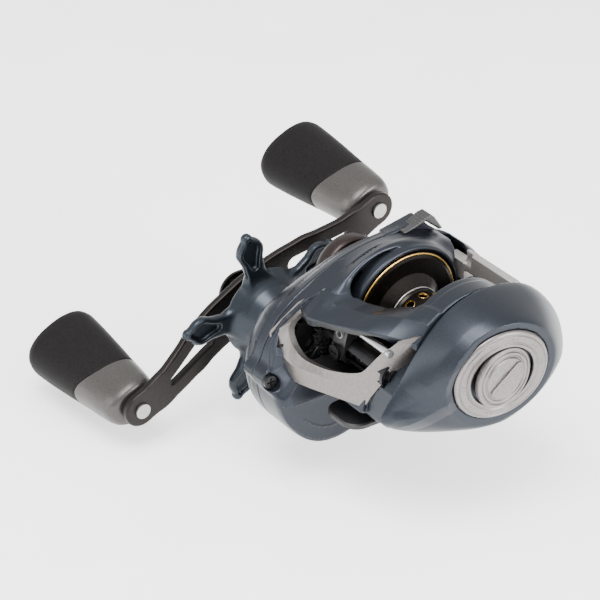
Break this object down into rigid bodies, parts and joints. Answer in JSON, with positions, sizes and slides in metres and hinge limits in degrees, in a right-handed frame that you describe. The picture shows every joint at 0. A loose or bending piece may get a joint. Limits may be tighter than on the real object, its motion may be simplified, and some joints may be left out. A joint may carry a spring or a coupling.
{
  "type": "baitcasting reel",
  "caption": "Low-profile baitcasting reel with a double handle, star drag, drilled spool, level-wind line guide, thumb bar, cast control and side brake dial.",
  "frame": {"origin": "centre of the foot's flat underside, straight below the spool axis", "axes": "+X towards the palm side plate along the spool axis, -X towards the handle, -Y towards the rod tip, +Y towards the rod butt, +Z away from the rod"},
  "size_m": [0.131, 0.1064, 0.0655],
  "materials": {
    "body_blue": "satin metallic slate blue",
    "trim_silver": "satin warm silver",
    "frame_black": "satin black",
    "screw_black": "black oxide",
    "spool_dark": "dark anodised, gold pinstripe",
    "steel": "machined",
    "bearing_steel": "polished",
    "brass": "machined",
    "aluminium": "machined",
    "crank_dark": "dark brown anodised",
    "thumb_grey": "satin grey",
    "cast_brown": "taupe anodised",
    "star_blue": "satin blue grey",
    "lever_grey": "matt, ribbed",
    "grip_black": "soft touch",
    "hub_taupe": "satin metallic taupe",
    "bush": "plain",
    "guide_black": "black",
    "ceramic": "polished",
    "friction": "woven fibre",
    "plastic_black": "matt",
    "dial_silver": "satin silver",
    "magnet": "nickel",
    "rivet": "satin"
  },
  "bodies": {
    "frame": {"main_frame": "body_blue", "front_trim": "trim_silver", "front_hood": "body_blue", "reel_foot": "frame_black", "foot_screws": "screw_black", "handle_side_plate": "body_blue", "cover_screws": "screw_black", "drive_shaft_bearing": "bearing_steel", "pinion_bearing": "bearing_steel", "spool_bearing_handle": "bearing_steel", "anti_reverse_bearing": "bearing_steel", "yoke_guide_pins": "steel", "yoke_springs": "steel", "worm_tube": "steel", "guide_rod": "steel"},
    "palm_plate": {"palm_side_plate": "body_blue", "palm_inner_plate": "plastic_black", "spool_bearing_palm": "bearing_steel", "magnet_holder": "plastic_black", "brake_magnets": "magnet", "dial_trim_ring": "dial_silver", "dial_click_spring": "steel"},
    "dial": {"brake_dial": "dial_silver"},
    "spool_group": {"spool": "spool_dark", "spool_shaft": "steel", "spool_cross_pin": "steel", "brake_rotor": "aluminium"},
    "yoke": {"clutch_yoke": "plastic_black"},
    "pinion": {"pinion_gear": "brass"},
    "clutch_bar": {"thumb_bar": "thumb_grey", "clutch_cam": "plastic_black"},
    "handle": {"drive_shaft": "steel", "levelwind_drive_gear": "plastic_black", "main_gear": "brass", "drag_washers": "friction", "drag_pressure_plate": "steel", "ratchet_wheel": "steel", "anti_reverse_sleeve": "steel", "drag_spring_washers": "steel", "crank_arm": "crank_dark", "knob_posts": "rivet", "handle_nut": "crank_dark", "nut_retainer": "crank_dark"},
    "star": {"star_drag": "star_blue"},
    "rear_knob": {"rear_knob_grip": "grip_black", "rear_knob_hub": "hub_taupe", "rear_knob_bushes": "bush"},
    "front_knob": {"front_knob_grip": "grip_black", "front_knob_hub": "hub_taupe", "front_knob_bushes": "bush"},
    "worm": {"worm_shaft": "steel", "worm_gear": "plastic_black"},
    "guide": {"line_guide": "guide_black", "line_guide_insert": "ceramic", "worm_pawl": "steel"},
    "cast_control": {"cast_control_knob": "cast_brown", "tension_spacer": "bush"},
    "switch": {"flipping_switch": "lever_grey"}
  },
  "joints": [
    {"name": "handle_spin", "type": "hinge", "parent": "frame", "child": "handle", "pos_m": [-0.04, -0.0196, 0.00675], "axis": [1, 0, 0], "continuous": true},
    {"name": "star_turn", "type": "hinge", "parent": "handle", "child": "star", "pos_m": [-0.04, -0.0196, 0.00675], "axis": [1, 0, 0], "range_deg": [-180, 180]},
    {"name": "rear_knob_spin", "type": "hinge", "parent": "handle", "child": "rear_knob", "pos_m": [-0.07, 0.0216, 0.0272], "axis": [1, 0, 0], "continuous": true},
    {"name": "front_knob_spin", "type": "hinge", "parent": "handle", "child": "front_knob", "pos_m": [-0.07, -0.0608, -0.0137], "axis": [1, 0, 0], "continuous": true},
    {"name": "spool_spin", "type": "hinge", "parent": "frame", "child": "spool_group", "pos_m": [0, 0, 0.0206], "axis": [1, 0, 0], "continuous": true},
    {"name": "yoke_slide", "type": "slide", "parent": "frame", "child": "yoke", "axis": [-1, 0, 0], "range_m": [0, 0.0019]},
    {"name": "pinion_spin", "type": "hinge", "parent": "yoke", "child": "pinion", "pos_m": [0, 0, 0.0206], "axis": [1, 0, 0], "continuous": true},
    {"name": "thumb_press", "type": "slide", "parent": "frame", "child": "clutch_bar", "axis": [0, 0, -1], "range_m": [0, 0.004], "stiffness_N_per_m": 300},
    {"name": "worm_spin", "type": "hinge", "parent": "frame", "child": "worm", "pos_m": [0, -0.0225, 0.01839], "axis": [1, 0, 0], "continuous": true},
    {"name": "guide_travel", "type": "slide", "parent": "frame", "child": "guide", "axis": [1, 0, 0], "range_m": [-0.0033, 0.013]},
    {"name": "cast_control_turn", "type": "hinge", "parent": "frame", "child": "cast_control", "pos_m": [0, 0, 0.0206], "axis": [1, 0, 0], "range_deg": [-180, 180]},
    {"name": "brake_dial_turn", "type": "hinge", "parent": "palm_plate", "child": "dial", "pos_m": [0, 0, 0.0206], "axis": [1, 0, 0], "range_deg": [-120, 150]},
    {"name": "palm_plate_off", "type": "slide", "parent": "frame", "child": "palm_plate", "axis": [1, 0, 0], "range_m": [0, 0.03]},
    {"name": "flipping_switch_slide", "type": "slide", "parent": "frame", "child": "switch", "axis": [0, 0.992, 0.126], "range_m": [0, 0.0025]}
  ],
  "couplings": [
    {"joint": "spool_spin", "follows": "handle_spin", "ratio": -5.4},
    {"joint": "pinion_spin", "follows": "handle_spin", "ratio": -5.4},
    {"joint": "worm_spin", "follows": "handle_spin", "ratio": -1.5},
    {"joint": "yoke_slide", "follows": "thumb_press", "ratio": 0.475}
  ]
}
